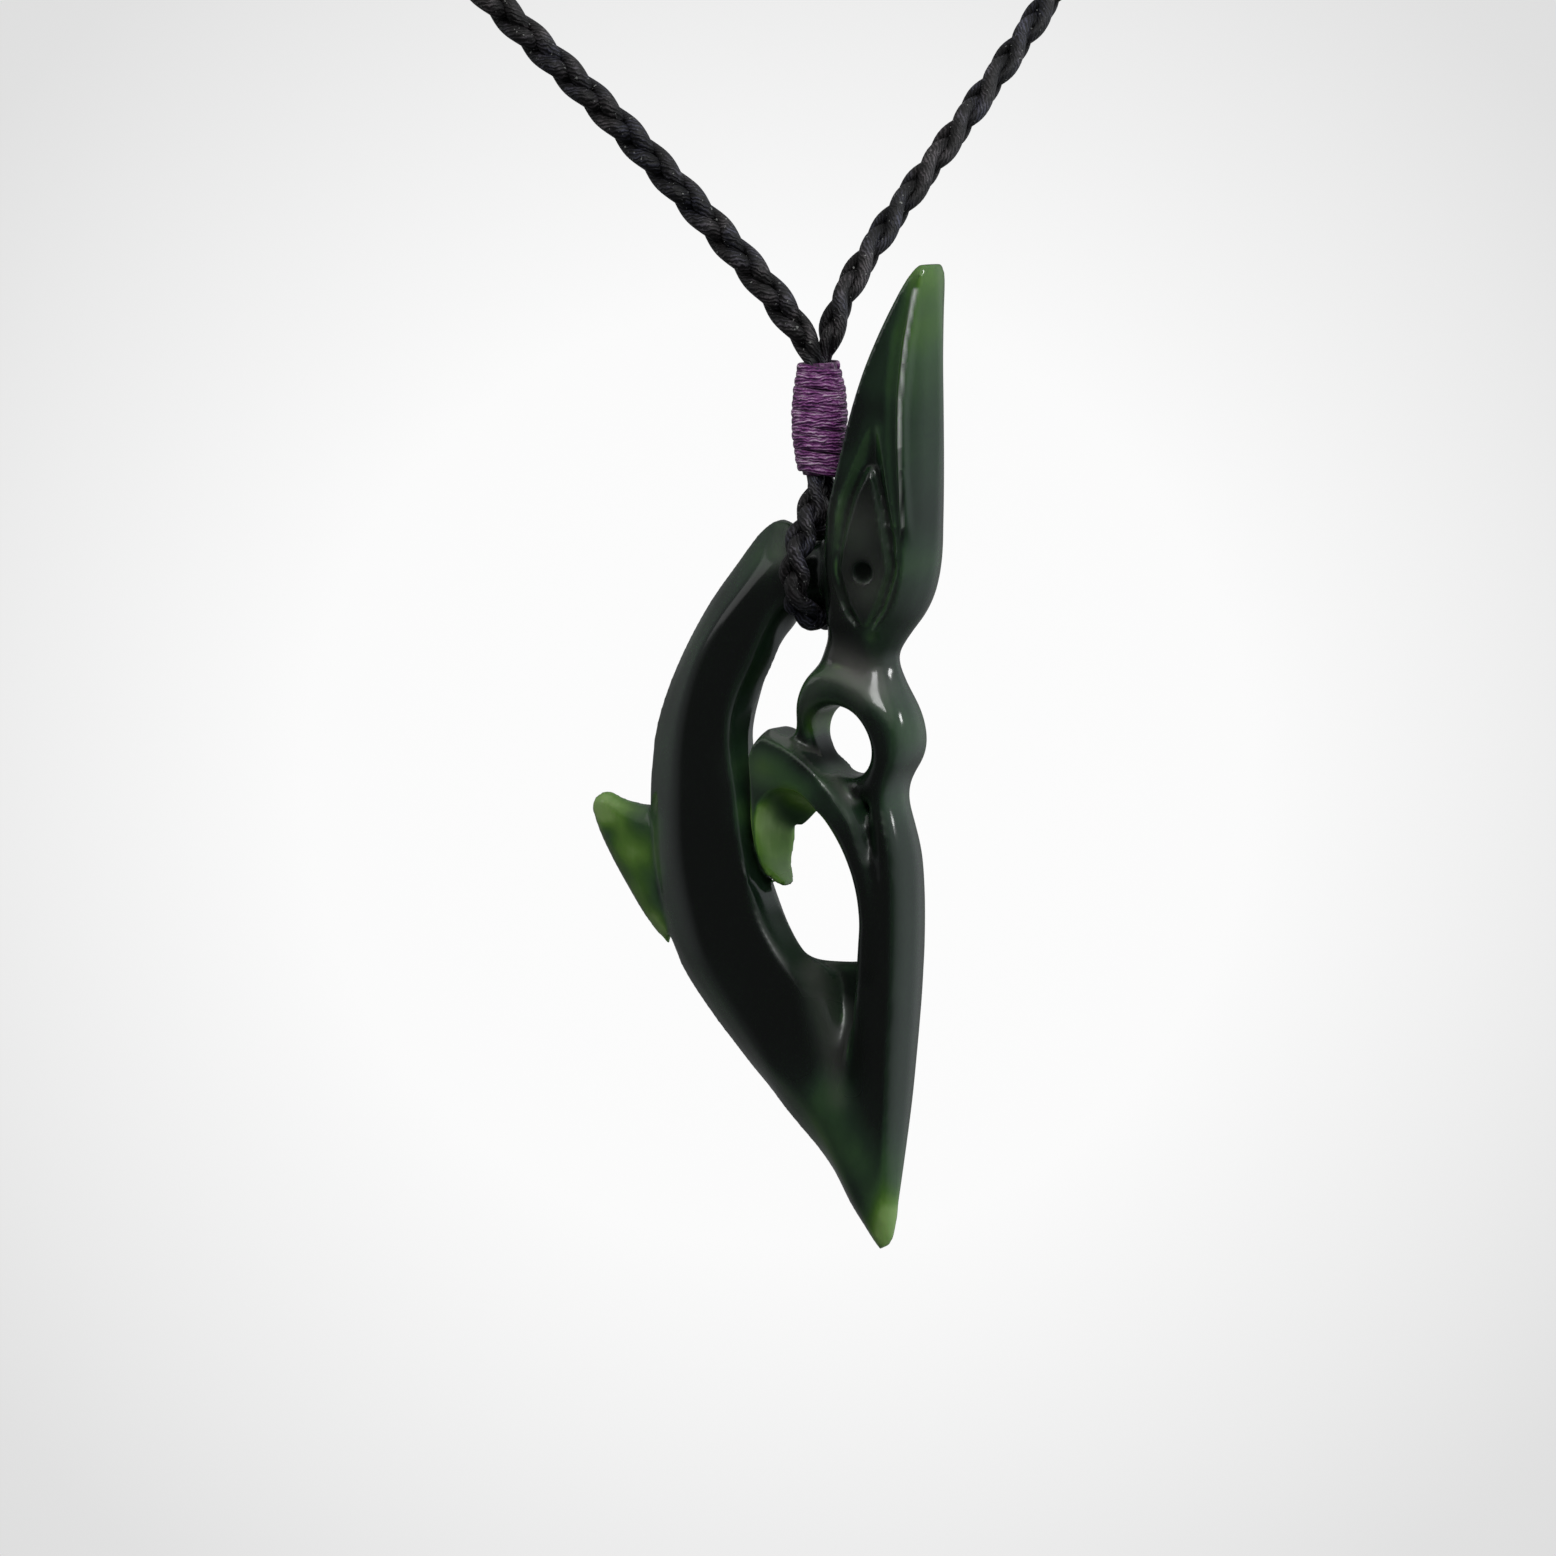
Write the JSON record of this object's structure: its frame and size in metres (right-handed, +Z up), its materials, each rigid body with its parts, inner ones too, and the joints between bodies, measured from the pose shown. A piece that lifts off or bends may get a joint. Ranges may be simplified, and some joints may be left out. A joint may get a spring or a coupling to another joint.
{
  "type": "pendant necklace",
  "caption": "carved greenstone manaia pendant with a beaked head, curled hand and finned blade, whipped with purple thread to a dark plaited cord loop",
  "frame": {"origin": "where the front side of the cord rests on the back of the neck", "axes": "+Z up, -Y towards the wearer's front where the pendant hangs, +X to the wearer's left"},
  "size_m": [0.145, 0.1583, 0.2617],
  "materials": {
    "greenstone": "polished",
    "thread": "satin",
    "cord": "waxed"
  },
  "bodies": {
    "root": {"greenstone_carving": "greenstone", "thread_whipping": "thread", "hanging_loop": "cord", "neck_cord": "cord"}
  },
  "joints": []
}
